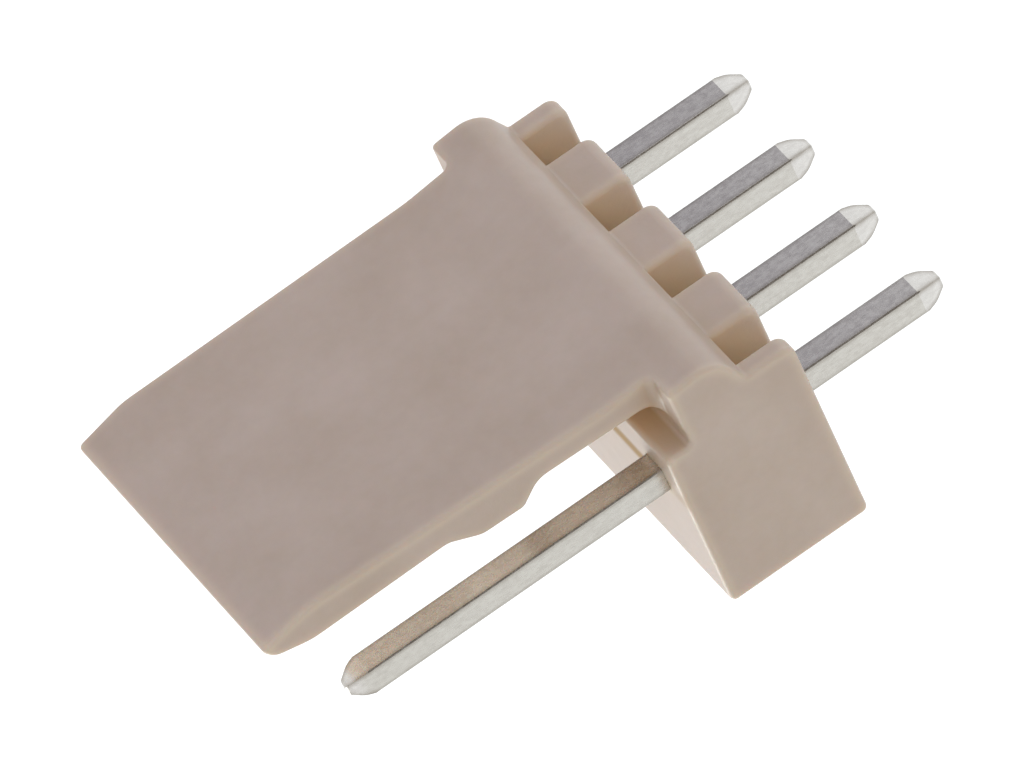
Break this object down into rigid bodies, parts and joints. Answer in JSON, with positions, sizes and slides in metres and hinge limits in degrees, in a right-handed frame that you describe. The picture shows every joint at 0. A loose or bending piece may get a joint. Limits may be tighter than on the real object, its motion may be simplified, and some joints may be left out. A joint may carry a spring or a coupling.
{
  "type": "pin header",
  "caption": "Straight through-hole pin header in natural nylon: square tin-plated pins in one row, castellated base, overhanging rear flange and friction-lock wall with a latch bump.",
  "frame": {"origin": "middle of the row of pins on the board's surface, on the underside of the middle rib", "axes": "+X along the row of pins, +Y towards the friction-lock wall, +Z away from the board along the mating pins"},
  "size_m": [0.0096, 0.006, 0.0156],
  "materials": {
    "natural_nylon": "moulded natural nylon, satin",
    "tinned_pin": "matte tin plating over brass"
  },
  "bodies": {
    "root": {"housing": "natural_nylon", "pin_1": "tinned_pin", "pin_2": "tinned_pin", "pin_3": "tinned_pin", "pin_4": "tinned_pin"}
  },
  "joints": []
}
